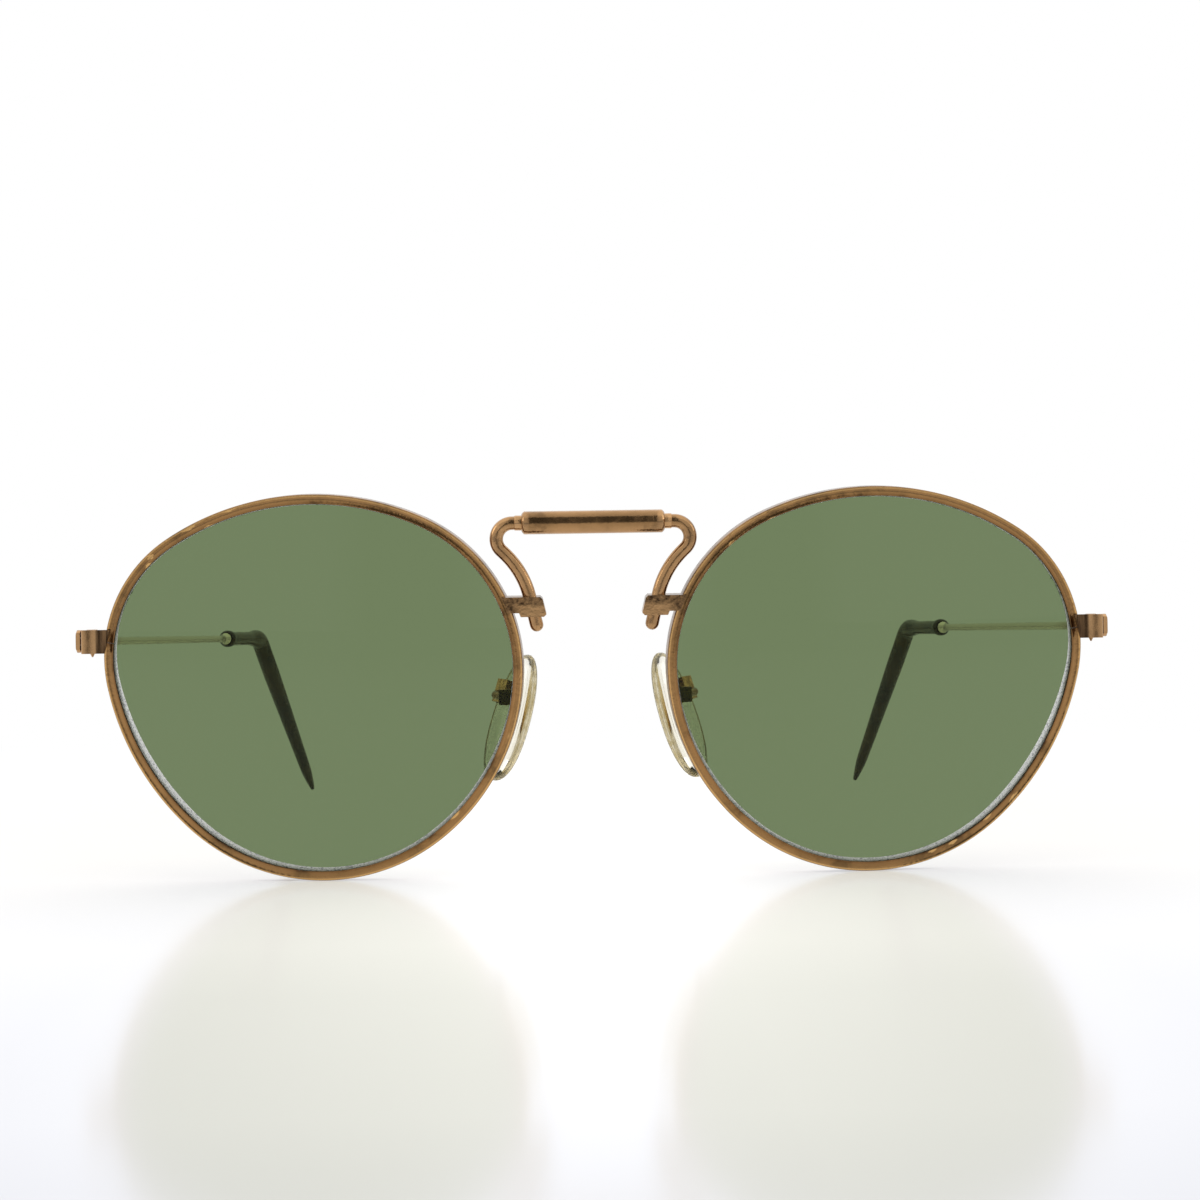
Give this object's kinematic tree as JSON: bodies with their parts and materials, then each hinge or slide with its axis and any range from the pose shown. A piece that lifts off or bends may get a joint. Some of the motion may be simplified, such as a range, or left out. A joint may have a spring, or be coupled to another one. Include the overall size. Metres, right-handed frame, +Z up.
{
  "type": "sunglasses",
  "caption": "Round wire-framed sunglasses with green glass lenses, a high sleeved wire bridge, clear rocking nose pads, and folding wire temples with dark plastic tips.",
  "frame": {"origin": "on the floor under the middle of the opened glasses: halfway between their left and right sides, and halfway between the front of the rims and the ends of the temple tips", "axes": "+Z up; -Y the way the lenses face; +X the wearer's left"},
  "size_m": [0.1326, 0.1407, 0.0492],
  "materials": {
    "antique_gold_plate": "polished gold plate, dulled and worn darker in patches",
    "worn_gold_plate": "gold plate worn and stained round the solder",
    "screw_metal": "dull plated",
    "green_glass": "polished, with a ground facet round the edge",
    "clear_pad": "clear, yellowed with age",
    "dark_brown_plastic": "glossy dark brown, a little amber where light comes through"
  },
  "bodies": {
    "front": {"left_rim": "antique_gold_plate", "right_rim": "antique_gold_plate", "left_lens": "green_glass", "right_lens": "green_glass", "bridge_wire": "antique_gold_plate", "bridge_sleeve": "antique_gold_plate", "left_bridge_lug": "worn_gold_plate", "right_bridge_lug": "worn_gold_plate", "left_pad_arm": "worn_gold_plate", "right_pad_arm": "worn_gold_plate", "left_pad_box": "antique_gold_plate", "right_pad_box": "antique_gold_plate", "left_pad_screw": "screw_metal", "right_pad_screw": "screw_metal", "left_endpiece": "antique_gold_plate", "right_endpiece": "antique_gold_plate", "left_upper_closing_block": "antique_gold_plate", "right_upper_closing_block": "antique_gold_plate", "left_lower_closing_block": "antique_gold_plate", "right_lower_closing_block": "antique_gold_plate", "left_closing_screw": "screw_metal", "right_closing_screw": "screw_metal", "left_front_hinge": "antique_gold_plate", "right_front_hinge": "antique_gold_plate", "left_hinge_screw": "screw_metal", "right_hinge_screw": "screw_metal"},
    "left_side": {"left_temple_hinge": "antique_gold_plate", "left_first_rivet": "screw_metal", "left_second_rivet": "screw_metal", "left_temple": "antique_gold_plate", "left_temple_tip": "dark_brown_plastic"},
    "right_side": {"right_temple_hinge": "antique_gold_plate", "right_first_rivet": "screw_metal", "right_second_rivet": "screw_metal", "right_temple": "antique_gold_plate", "right_temple_tip": "dark_brown_plastic"},
    "left_pad": {"left_nose_pad": "clear_pad"},
    "right_pad": {"right_nose_pad": "clear_pad"}
  },
  "joints": [
    {"name": "left_temple_fold", "type": "hinge", "parent": "front", "child": "left_side", "pos_m": [0.06449, -0.06017, 0.03087], "axis": [0, 0, 1], "range_deg": [0, 83]},
    {"name": "right_temple_fold", "type": "hinge", "parent": "front", "child": "right_side", "pos_m": [-0.06449, -0.06017, 0.03087], "axis": [0, 0, -1], "range_deg": [0, 76]},
    {"name": "left_pad_rock", "type": "hinge", "parent": "front", "child": "left_pad", "pos_m": [0.01141, -0.06154, 0.0235], "axis": [0.6691, 0.7403, 0.0648], "range_deg": [-8, 8]},
    {"name": "right_pad_rock", "type": "hinge", "parent": "front", "child": "right_pad", "pos_m": [-0.01141, -0.06154, 0.0235], "axis": [0.6691, -0.7403, -0.0648], "range_deg": [-8, 8]}
  ]
}
